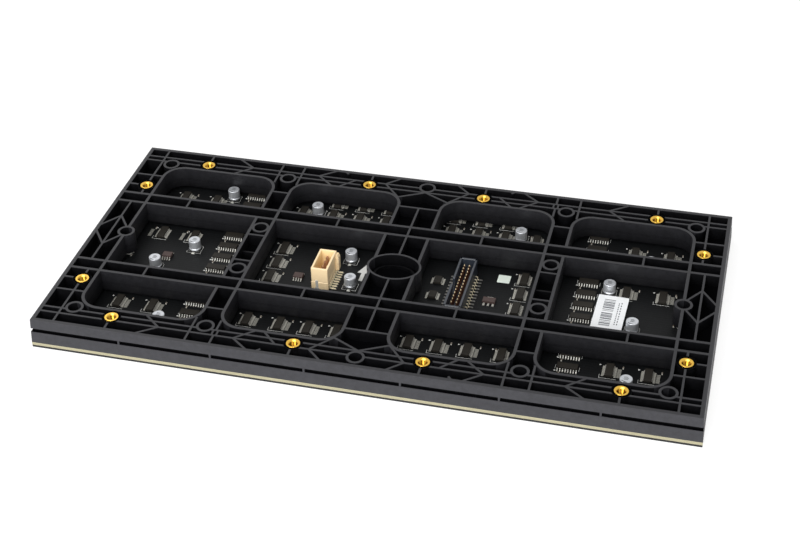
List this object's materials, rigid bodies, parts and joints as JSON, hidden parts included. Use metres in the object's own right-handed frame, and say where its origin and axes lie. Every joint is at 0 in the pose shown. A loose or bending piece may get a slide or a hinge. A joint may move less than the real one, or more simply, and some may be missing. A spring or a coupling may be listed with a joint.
{
  "type": "led display module",
  "caption": "Flat rectangular LED display panel module, lying on its light-emitting face, with a ribbed rear frame, windows over its board, threaded inserts and cable headers.",
  "frame": {"origin": "middle of the light-emitting face, in the plane it rests on", "axes": "+X along the long side, +Y along the short side, +Z out of the rear side"},
  "size_m": [0.32, 0.16, 0.016],
  "materials": {
    "frame_plastic": "fine moulded grain",
    "board_laminate": "dark solder mask over a cream glass-fibre core",
    "mask_plastic": "matt black",
    "lamp_resin": "smoked resin",
    "insert_brass": "turned and knurled",
    "screw_steel": "black oxide",
    "nut_tin": "tinned",
    "can_aluminium": "drawn can",
    "base_plastic": "moulded",
    "chip_resin": "moulded resin",
    "lead_tin": "tinned",
    "power_nylon": "natural nylon",
    "pin_tin": "tinned brass",
    "shroud_plastic": "moulded",
    "pin_gold": "gold flash"
  },
  "bodies": {
    "root": {"rear_frame": "frame_plastic", "circuit_board": "board_laminate", "front_mask": "mask_plastic", "led_rows": "lamp_resin", "threaded_inserts": "insert_brass", "frame_screws": "screw_steel", "board_nuts": "nut_tin", "capacitor_cans": "can_aluminium", "capacitor_bases": "base_plastic", "driver_chip_bodies": "chip_resin", "driver_chip_leads": "lead_tin", "row_switch_chip_bodies": "chip_resin", "row_switch_chip_leads": "lead_tin", "buffer_chip_bodies": "chip_resin", "buffer_chip_leads": "lead_tin", "supply_chip_bodies": "chip_resin", "supply_chip_leads": "lead_tin", "regulator_body": "chip_resin", "regulator_metal": "lead_tin", "power_header_housing": "power_nylon", "power_header_pins": "pin_tin", "power_header_tails": "pin_tin", "data_header_shroud": "shroud_plastic", "data_header_pins": "pin_gold", "data_header_leads": "lead_tin"}
  },
  "joints": []
}
